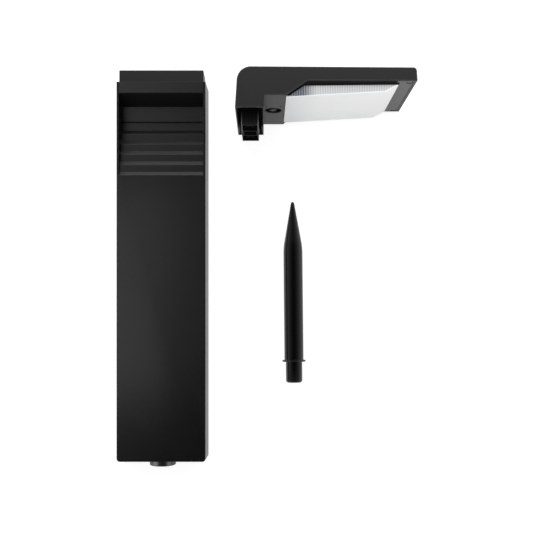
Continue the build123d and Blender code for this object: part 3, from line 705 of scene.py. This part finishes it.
def milky_plastic(name, colour, rib_pitch):
    """Milky diffuser plastic: ribs show through its side walls. Painted shade darkens the walls and the
    bottom towards the leg end, where the rib stripes are painted stronger, and the walls under their top
    edge.
    """
    material, tree, shader = new_material(name, colour)
    shader.inputs["Roughness"].default_value = 0.30
    shader.inputs["IOR"].default_value = 1.49
    shade_colour = (0.10, 0.11, 0.15, 1.0)
    coords = tree.nodes.new("ShaderNodeTexCoord")
    place = split_vector(tree, coords.outputs["Object"])
    facing = split_vector(tree, coords.outputs["Normal"])
    low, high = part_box("diffuser")
    along = math_node(tree, "SUBTRACT", place["X"], low.x)
    share = math_node(tree, "DIVIDE", along, high.x - low.x)
    turns = math_node(tree, "FRACT", math_node(tree, "DIVIDE", along, rib_pitch), 0.0)
    swing = math_node(tree, "ABSOLUTE", math_node(tree, "SUBTRACT", turns, 0.5), 0.0)
    ridge = math_node(tree, "MULTIPLY", swing, 2.0)
    # Towards the leg end the side walls get painted shade and stronger rib stripes
    contrast = tone_ramp(tree, share, ((0.15, 0.52), (0.27, 0.28), (0.50, 0.28), (0.80, 0.22), (1.0, 0.12)))
    depth = tone_ramp(tree, share, ((0.15, 0.66), (0.19, 0.47), (0.23, 0.24), (0.28, 0.09), (1.0, 0.12)))
    # Painted shadow on the side walls under their top edge
    below = math_node(tree, "SUBTRACT", high.y, place["Y"])
    drop = math_node(tree, "DIVIDE", below, high.y - low.y)
    rim_shadow = tone_ramp(tree, drop, ((0.0, 0.40), (0.10, 0.11), (0.27, 0.0)))
    ribs_and_painted_shade = math_node(tree, "ADD", depth, math_node(tree, "MULTIPLY", ridge, contrast))
    ribs_and_painted_shade = math_node(tree, "ADD", ribs_and_painted_shade, rim_shadow)
    side = math_node(tree, "ABSOLUTE", facing["Z"], 0.0)
    wall = math_node(tree, "GREATER_THAN", side, FACING)
    # Painted shade on the bottom, darker towards the leg end
    under = tone_ramp(tree, share, ((0.02, 0.16), (0.15, 0.08), (0.32, 0.0)))
    shade = math_node(tree, "MULTIPLY", ribs_and_painted_shade, wall)
    bottom_shade = math_node(tree, "MULTIPLY", under, math_node(tree, "SUBTRACT", 1.0, wall))
    clouds = noise_node(tree, coords.outputs["Object"], scale=35.0, detail=4.0)
    milk = mix_colours(tree, clouds, scaled_colour(colour, 0.97), colour)
    ribs = mix_colours(tree, math_node(tree, "ADD", shade, bottom_shade), milk, shade_colour)
    tree.links.new(ribs, shader.inputs["Base Color"])
    return material


def screw_steel(name):
    """Dark zinc plate of the small screws."""
    material, tree, shader = new_material(name, (0.25, 0.25, 0.24, 1.0))
    shader.inputs["Metallic"].default_value = 1.0
    plain_roughness = 0.42
    polish = 0.18
    scratches = place_group(tree, bpy.data.node_groups["Fine Scratches"], Scale=1800.0, Stretch=0.3)
    polished = math_node(tree, "MULTIPLY", scratches.outputs["Mask"], polish)
    rough = math_node(tree, "SUBTRACT", plain_roughness, polished)
    tree.links.new(rough, shader.inputs["Roughness"])
    bump_from(tree, shader, scratches.outputs["Mask"], 0.01 * MM)
    return material


def nickel_plate(name):
    """Nickel-plated spring steel of the battery contacts."""
    material, tree, shader = new_material(name, (0.62, 0.61, 0.58, 1.0))
    shader.inputs["Metallic"].default_value = 1.0
    plain_roughness = 0.25
    wear_and_sheen = 0.2
    scratches = place_group(tree, bpy.data.node_groups["Fine Scratches"], Scale=900.0, Stretch=0.08)
    worn_and_sheen = math_node(tree, "MULTIPLY", scratches.outputs["Mask"], wear_and_sheen)
    rough = math_node(tree, "ADD", plain_roughness, worn_and_sheen)
    tree.links.new(rough, shader.inputs["Roughness"])
    return material


def silicon_cells(name, colour):
    """Dark cells with fine pale collector lines."""
    material, tree, shader = new_material(name, colour)
    shader.inputs["Roughness"].default_value = 0.22
    finger_pitch = 1.6 * MM
    line_share = 0.09
    line_colour = (0.35, 0.36, 0.38, 1.0)
    coords = tree.nodes.new("ShaderNodeTexCoord").outputs["Object"]
    place = split_vector(tree, coords)
    fingers = math_node(tree, "MULTIPLY", place["Z"], 1.0 / finger_pitch)
    wave = math_node(tree, "FRACT", fingers, 0.0)
    lines = math_node(tree, "LESS_THAN", wave, line_share)
    crystals = noise_node(tree, coords, scale=160.0, detail=3.0)
    dark = mix_colours(tree, crystals, colour, scaled_colour(colour, 1.9))
    tree.links.new(mix_colours(tree, lines, dark, line_colour), shader.inputs["Base Color"])
    return material


def clear_glass(name):
    """Tempered cover glass, a little smeared."""
    material, tree, shader = new_material(name, (0.93, 0.96, 0.96, 1.0))
    shader.inputs["Transmission Weight"].default_value = 1.0
    shader.inputs["IOR"].default_value = 1.5
    coords = tree.nodes.new("ShaderNodeTexCoord").outputs["Object"]
    clean_roughness = 0.03
    smear_roughness = 0.08
    smear = noise_node(tree, coords, scale=30.0, detail=4.0)
    rough = math_node(tree, "ADD", clean_roughness, math_node(tree, "MULTIPLY", smear, smear_roughness))
    tree.links.new(rough, shader.inputs["Roughness"])
    return material


def board_laminate(name):
    """White solder mask with a faint weave of the laminate."""
    material, tree, shader = new_material(name, (0.72, 0.72, 0.70, 1.0))
    shader.inputs["Roughness"].default_value = 0.45
    coords = tree.nodes.new("ShaderNodeTexCoord").outputs["Object"]
    weave = noise_node(tree, coords, scale=700.0, detail=2.0)
    tone = mix_colours(tree, weave, (0.68, 0.68, 0.65, 1.0), (0.78, 0.78, 0.76, 1.0))
    tree.links.new(tone, shader.inputs["Base Color"])
    bump_from(tree, shader, weave, 0.02 * MM)
    return material


def plain_finish(name, low, high, roughness, scale):
    """A small inner piece: two close tones, mixed by noise."""
    material, tree, shader = new_material(name, high)
    shader.inputs["Roughness"].default_value = roughness
    coords = tree.nodes.new("ShaderNodeTexCoord").outputs["Object"]
    tone = noise_node(tree, coords, scale, detail=4.0)
    tree.links.new(mix_colours(tree, tone, low, high), shader.inputs["Base Color"])
    bump_from(tree, shader, tone, 0.02 * MM)
    return material


# Table, tent, lamps and camera


def lay_floor():
    """A wide table top that looks white to the camera and still takes the shadow."""
    width = 12.0
    seen_level = 0.86
    mirrored_level = 0.5
    deselect()
    bpy.ops.mesh.primitive_plane_add(size=width, location=(0.0, 0.0, 0.0))
    floor = bpy.context.active_object
    floor.name = "table_top"
    bpy.ops.object.mode_set(mode="EDIT")
    bpy.ops.mesh.subdivide(number_cuts=7)
    bpy.ops.object.mode_set(mode="OBJECT")
    material = bpy.data.materials.new("Table White")
    material.use_nodes = True
    tree = material.node_tree
    shader = tree.nodes["Principled BSDF"]
    shader.inputs["Base Color"].default_value = (0.82, 0.82, 0.82, 1.0)
    shader.inputs["Roughness"].default_value = 0.9
    path = tree.nodes.new("ShaderNodeLightPath")
    mirrored = math_node(tree, "MAXIMUM", path.outputs["Is Glossy Ray"], path.outputs["Is Transmission Ray"])
    mirrored = math_node(tree, "MULTIPLY", mirrored, mirrored_level)
    seen = math_node(tree, "MULTIPLY", path.outputs["Is Camera Ray"], seen_level)
    shader.inputs["Emission Color"].default_value = (1.0, 1.0, 1.0, 1.0)
    tree.links.new(math_node(tree, "MAXIMUM", seen, mirrored), shader.inputs["Emission Strength"])
    floor.data.materials.append(material)


def hang_surround(brightness):
    """World light: bright round the table's edge, dark straight above, white where the camera sees it."""
    world = bpy.data.worlds.new("Pale Tent")
    bpy.context.scene.world = world
    world.use_nodes = True
    tree = world.node_tree
    background = tree.nodes["Background"]
    white = (1.0, 1.0, 1.0, 1.0)
    direction = split_vector(tree, tree.nodes.new("ShaderNodeTexCoord").outputs["Generated"])
    levels = ((0.0, 1.0), (0.35, 0.55), (0.76, 0.22), (0.94, 0.05), (1.0, 0.03))
    height = tone_ramp(tree, direction["Z"], levels)
    slope = tree.nodes.new("ShaderNodeMapRange")
    tree.links.new(direction["Y"], slope.inputs["Value"])
    slope.inputs["From Min"].default_value = -1.0
    slope.inputs["From Max"].default_value = 0.2
    slope.inputs["To Min"].default_value = 0.45
    slope.inputs["To Max"].default_value = 1.0
    glow = tree.nodes.new("ShaderNodeMix")
    glow.data_type = "RGBA"
    glow.blend_type = "MULTIPLY"
    glow.inputs["Factor"].default_value = 1.0
    tree.links.new(height, glow.inputs["A"])
    tree.links.new(slope.outputs["Result"], glow.inputs["B"])
    path = tree.nodes.new("ShaderNodeLightPath")
    tent = mix_colours(tree, path.outputs["Is Camera Ray"], glow.outputs["Result"], white)
    tree.links.new(tent, background.inputs["Color"])
    level = tree.nodes.new("ShaderNodeMix")
    tree.links.new(path.outputs["Is Camera Ray"], level.inputs["Factor"])
    level.inputs["A"].default_value = brightness
    level.inputs["B"].default_value = 1.0
    tree.links.new(level.outputs["Result"], background.inputs["Strength"])


COLUMN_PIECES = (
    "column_post_shell",
    "column_rear_cover",
    "column_louvre_panel",
    "column_neck_collar",
    "column_socket",
)


class LampPlan(NamedTuple):
    """A lamp's place, aim and power, and the pieces that it lights alone or leaves out."""

    name: str
    place: tuple
    target: tuple
    size: tuple
    power: float
    pieces: tuple
    state: str = "INCLUDE"
    roll: float = 0.0


def lamp_plans(stage):
    """The lamps over the table, the column, its socket and the head."""
    head_low, head_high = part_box("head_housing")
    boss_low, boss_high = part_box("spike_socket")
    head = (head_low + head_high) / 2
    boss = (boss_low + boss_high) / 2
    table = (0.0, 0.0, 0.0)
    wide_size = (1.5, 0.68)
    wide_roll = 3.0
    long_size = (1.2, 0.5)
    return (
        LampPlan(
            "Top Lamp",
            place=(0.10, 0.82, 1.0),
            target=table,
            size=wide_size,
            power=stage.top_power,
            pieces=("smooth_spike", "column_post_shell", "column_louvre_panel"),
            state="EXCLUDE",
            roll=wide_roll,
        ),
        LampPlan(
            "Niche Lamp",
            place=(-0.90, 0.82, 1.0),
            target=(-1.00, 0.0, 0.0),
            size=wide_size,
            power=1.25 * stage.top_power,
            pieces=("column_louvre_panel",),
            roll=wide_roll,
        ),
        LampPlan(
            "Sky Lamp",
            place=(-0.24, 0.005, 0.80),
            target=(-0.24, 0.005, 0.0),
            size=(0.70, 0.45),
            power=stage.sky_power,
            pieces=("column_post_shell",),
        ),
        LampPlan(
            "Rail Lamp",
            place=(-0.20, 0.53, 1.0),
            target=(-0.20, 0.53, 0.0),
            size=(0.70, 0.26),
            power=1.4 * stage.sky_power,
            pieces=("column_post_shell",),
        ),
        LampPlan(
            "Side Lamp",
            place=(-0.380, -0.008, 0.60),
            target=table,
            size=(0.43, 0.55),
            power=stage.side_power,
            pieces=COLUMN_PIECES,
            roll=4.0,
        ),
        LampPlan(
            "Back Lamp",
            place=(-0.10, 1.30, 0.42),
            target=table,
            size=(1.2, 0.4),
            power=stage.back_power,
            pieces=("smooth_spike",),
            state="EXCLUDE",
        ),
        LampPlan(
            "West Boss Lamp",
            place=(-0.52, -0.26, 0.26),
            target=boss,
            size=(0.4, 0.4),
            power=1.7 * stage.side_power,
            pieces=("column_socket",),
        ),
        LampPlan(
            "East Boss Lamp",
            place=(0.35, -0.26, 0.25),
            target=boss,
            size=(0.3, 0.3),
            power=0.7 * stage.side_power,
            pieces=("column_socket",),
        ),
        LampPlan(
            "Fill Lamp",
            place=(0.45, -0.70, 0.85),
            target=head,
            size=long_size,
            power=stage.fill_power,
            pieces=("milky_tray", "moulded_lamp_frame", "soft_button"),
        ),
        LampPlan(
            "Rim Lamp",
            place=(0.15, -0.70, 0.90),
            target=head,
            size=long_size,
            power=0.6 * stage.fill_power,
            pieces=("moulded_head_housing", "moulded_plug"),
        ),
    )


def hang_lamp(plan):
    """A soft rectangular lamp that looks at its target, rolled about its own axis."""
    data = bpy.data.lights.new(plan.name, "AREA")
    data.shape = "RECTANGLE"
    data.size = plan.size[0]
    data.size_y = plan.size[1]
    data.energy = plan.power
    lamp = bpy.data.objects.new(plan.name, data)
    lamp.location = plan.place
    aim = (Vector(plan.target) - Vector(plan.place)).to_track_quat("-Z", "Y")
    turn = Quaternion((0.0, 0.0, 1.0), math.radians(plan.roll))
    lamp.rotation_euler = (aim @ turn).to_euler()
    bpy.context.scene.collection.objects.link(lamp)
    receivers = bpy.data.collections.new(plan.name + " Pieces")
    for name in plan.pieces:
        receivers.objects.link(bpy.data.objects[name])
    for entry in receivers.collection_objects:
        entry.light_linking.link_state = plan.state
    lamp.light_linking.receiver_collection = receivers


def place_camera(stage):
    """A camera that looks straight down, shifted as the photograph is framed."""
    place_x = 0.00295
    place_y = -0.05935
    data = bpy.data.cameras.new("Camera")
    data.sensor_width = 36.0
    data.lens = stage.camera_lens
    data.shift_x = 0.0066
    data.shift_y = 0.1266
    camera = bpy.data.objects.new("Camera", data)
    camera.location = (place_x, place_y, stage.camera_height)
    camera.rotation_euler = (0.0, 0.0, 0.0)
    bpy.context.scene.collection.objects.link(camera)
    bpy.context.scene.camera = camera


# Operators, one for each piece or group


class SPIKELIGHT_OT_finishes(bpy.types.Operator):
    """Builds the shader groups and materials"""

    bl_idname = "spikelight.finishes"
    bl_label = "Finishes"

    def execute(self, context):
        finish = context.scene.spike_finish
        build_mould_grain()
        build_settled_dust()
        build_fine_scratches()
        grain = finish.grain_size
        column = finish.column_colour[:]
        head = finish.head_colour[:]
        spike = finish.spike_colour[:]
        frame_black = (0.006, 0.006, 0.006, 1.0)
        deep_black = (0.002, 0.002, 0.002, 1.0)
        seal_black = (0.004, 0.004, 0.004, 1.0)
        switch_black = (0.02, 0.02, 0.021, 1.0)
        # Paler grey of the end plate: a painted reflection
        plate_reflection_grey = (0.075, 0.075, 0.073, 1.0)
        # Paler greys of the plug: painted light near the mouth and painted highlights on its corners
        mouth_light_grey = (0.022, 0.022, 0.021, 1.0)
        corner_highlight_grey = (0.17, 0.17, 0.165, 1.0)
        # Paler grey of the button cap's middle: a painted highlight
        cap_highlight_grey = (0.035, 0.035, 0.034, 1.0)
        moulded_plastic("Column Plastic", column, grain, roughness=0.25, depth=0.016 * MM, dust=0.075)
        moulded_plastic("Panel Plastic", column, grain, roughness=0.35, depth=0.015 * MM, gloss=0.43)
        moulded_plastic("Head Plastic", head, grain, roughness=0.40, depth=0.015 * MM)
        plated_plastic("Frame Plastic", frame_black, plate_reflection_grey, grain)
        plug_plastic("Plug Plastic", deep_black, mouth_light_grey, corner_highlight_grey, grain)
        moulded_plastic("Spike Plastic", spike, grain * 2, roughness=0.20, depth=0.005 * MM, dust=0.01)
        moulded_plastic("Socket Plastic", spike, grain, roughness=0.28, depth=0.006 * MM, gloss=1.0)
        highlit_rubber("Button Rubber", deep_black, cap_highlight_grey, grain)
        moulded_plastic("Seal Rubber", seal_black, grain, roughness=0.7, depth=0.03 * MM, gloss=0.2)
        moulded_plastic("Switch Plastic", switch_black, grain, roughness=0.45, depth=0.02 * MM)
        milky_plastic("Diffuser Plastic", finish.diffuser_colour[:], finish.rib_pitch)
        screw_steel("Screw Steel")
        nickel_plate("Contact Steel")
        silicon_cells("Solar Silicon", finish.silicon_colour[:])
        clear_glass("Panel Glass")
        board_laminate("Board Laminate")
        dark_green = (0.02, 0.09, 0.035, 1.0)
        green = (0.03, 0.12, 0.05, 1.0)
        plain_finish("Battery Sleeve", dark_green, green, roughness=0.35, scale=80.0)
        dark_yellow = (0.80, 0.62, 0.12, 1.0)
        yellow = (0.88, 0.74, 0.25, 1.0)
        plain_finish("Light Phosphor", dark_yellow, yellow, roughness=0.4, scale=1500.0)
        return {"FINISHED"}


class SPIKELIGHT_OT_column(bpy.types.Operator):
    """Dresses the column with its louvres, neck, cover and socket"""

    bl_idname = "spikelight.column"
    bl_label = "Column"

    def execute(self, context):
        edge = context.scene.spike_finish.edge_round
        finishes = {
            "Column Plastic": ("post_shell", "rear_cover"),
            "Panel Plastic": ("louvre_panel", "neck_collar"),
        }
        for finish, nodes in finishes.items():
            for node in nodes:
                piece = smooth_copy(node, "column_" + node, "post", bpy.data.materials[finish], edge)
        glossy = bpy.data.materials["Socket Plastic"]
        socket = smooth_copy("spike_socket", "column_socket", "post", glossy, edge)
        return {"FINISHED"}


class SPIKELIGHT_OT_head(bpy.types.Operator):
    """Dresses the head's housing, lamp frame and snap plug"""

    bl_idname = "spikelight.head"
    bl_label = "Head"

    def execute(self, context):
        edge = context.scene.spike_finish.edge_round
        names = (
            ("head_housing", "moulded_head_housing", "Head Plastic"),
            ("lamp_frame", "moulded_lamp_frame", "Frame Plastic"),
            ("neck_plug", "moulded_plug", "Plug Plastic"),
        )
        for node, name, plastic in names:
            piece = smooth_copy(node, name, "head", bpy.data.materials[plastic], edge)
        return {"FINISHED"}


class SPIKELIGHT_OT_diffuser(bpy.types.Operator):
    """Dresses the ribbed diffuser tray"""

    bl_idname = "spikelight.diffuser"
    bl_label = "Diffuser"

    def execute(self, context):
        piece = smooth_copy("diffuser", "milky_tray", "head", bpy.data.materials["Diffuser Plastic"])
        return {"FINISHED"}


class SPIKELIGHT_OT_spike(bpy.types.Operator):
    """Dresses the ground spike"""

    bl_idname = "spikelight.spike"
    bl_label = "Ground Spike"

    def execute(self, context):
        plastic = bpy.data.materials["Spike Plastic"]
        piece = smooth_copy("ground_spike", "smooth_spike", "spike", plastic, angle=SPIKE_SMOOTH_ANGLE)
        return {"FINISHED"}


class SPIKELIGHT_OT_screws(bpy.types.Operator):
    """Models the small screws of the end plate, plug, board and rear cover"""

    bl_idname = "spikelight.screws"
    bl_label = "Screws"

    def execute(self, context):
        screw = context.scene.spike_screw
        sunk = {"frame_screws": "end_plate_screw", "plug_screws": "plug_screw", "board_screws": "board_screw"}
        for node, name in sunk.items():
            low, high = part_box(node)
            radius = (high.x - low.x) / 2
            seat = low.y + screw.head_height
            master = model_screw(name, screw, radius, high.y - seat)
            middle = (low.x + high.x) / 2
            places = [(middle, seat, low.z + radius), (middle, seat, high.z - radius)]
            drive_screws(master, places, math.radians(90), node, "head")
        low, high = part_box("cover_screws")
        radius = (high.x - low.x) / 2
        seat = low.z + screw.head_height
        master = model_screw("cover_screw", screw, radius, high.z - seat)
        middle = (low.x + high.x) / 2
        places = [(middle, low.y + radius, seat), (middle, high.y - radius, seat)]
        drive_screws(master, places, math.radians(180), "cover_screws", "post")
        return {"FINISHED"}


class SPIKELIGHT_OT_button(bpy.types.Operator):
    """Dresses the soft push button"""

    bl_idname = "spikelight.button"
    bl_label = "Button"

    def execute(self, context):
        edge = context.scene.spike_finish.edge_round
        piece = smooth_copy("button_cap", "soft_button", "button", bpy.data.materials["Button Rubber"], edge)
        return {"FINISHED"}


class SPIKELIGHT_OT_inner(bpy.types.Operator):
    """Dresses the pieces inside the head"""

    bl_idname = "spikelight.inner"
    bl_label = "Inner Pieces"

    def execute(self, context):
        finishes = {
            "Board Laminate": ("led_board", "solar_backing", "control_board"),
            "Light Phosphor": ("leds",),
            "Seal Rubber": ("panel_gasket", "button_seal"),
            "Solar Silicon": ("solar_cells",),
            "Panel Glass": ("solar_glass",),
            "Battery Sleeve": ("battery_cell",),
            "Head Plastic": ("battery_holder",),
            "Contact Steel": ("contact_positive", "contact_negative"),
            "Switch Plastic": ("switch_plunger", "push_switch", "board_components"),
        }
        for finish, nodes in finishes.items():
            for node in nodes:
                dress(node, bpy.data.materials[finish])
        return {"FINISHED"}


class SPIKELIGHT_OT_stage(bpy.types.Operator):
    """Sets the table, the pale tent, the lamps and the camera"""

    bl_idname = "spikelight.stage"
    bl_label = "Stage"

    def execute(self, context):
        stage = context.scene.spike_stage
        context.scene.view_settings.view_transform = "Standard"
        lay_floor()
        hang_surround(stage.surround)
        for plan in lamp_plans(stage):
            hang_lamp(plan)
        place_camera(stage)
        return {"FINISHED"}


class SPIKELIGHT_PT_panel(bpy.types.Panel):
    """Sidebar panel with the settings and the steps"""

    bl_label = "Solar Spike Light"
    bl_idname = "SPIKELIGHT_PT_panel"
    bl_space_type = "VIEW_3D"
    bl_region_type = "UI"
    bl_category = "Spike Light"

    def draw(self, context):
        layout = self.layout
        scene = context.scene
        for settings in (scene.spike_finish, scene.spike_screw, scene.spike_stage):
            box = layout.box()
            for label in settings.__annotations__:
                box.prop(settings, label)
        for step in STEPS:
            layout.operator(step.bl_idname)


STEPS = (
    SPIKELIGHT_OT_finishes,
    SPIKELIGHT_OT_column,
    SPIKELIGHT_OT_head,
    SPIKELIGHT_OT_diffuser,
    SPIKELIGHT_OT_spike,
    SPIKELIGHT_OT_screws,
    SPIKELIGHT_OT_button,
    SPIKELIGHT_OT_inner,
    SPIKELIGHT_OT_stage,
)
CLASSES = (FinishSettings, ScrewSettings, StageSettings, *STEPS, SPIKELIGHT_PT_panel)


def register():
    """Adds the classes and the settings."""
    for item in CLASSES:
        bpy.utils.register_class(item)
    bpy.types.Scene.spike_finish = PointerProperty(type=FinishSettings)
    bpy.types.Scene.spike_screw = PointerProperty(type=ScrewSettings)
    bpy.types.Scene.spike_stage = PointerProperty(type=StageSettings)


def unregister():
    """Takes the settings and the classes away again."""
    del bpy.types.Scene.spike_stage
    del bpy.types.Scene.spike_screw
    del bpy.types.Scene.spike_finish
    for item in reversed(CLASSES):
        bpy.utils.unregister_class(item)


def main():
    """Dresses the light step by step."""
    register()
    bpy.ops.spikelight.finishes()
    bpy.ops.spikelight.column()
    bpy.ops.spikelight.head()
    bpy.ops.spikelight.diffuser()
    bpy.ops.spikelight.spike()
    bpy.ops.spikelight.screws()
    bpy.ops.spikelight.button()
    bpy.ops.spikelight.inner()
    bpy.ops.spikelight.stage()


if __name__ == "__main__":
    main()
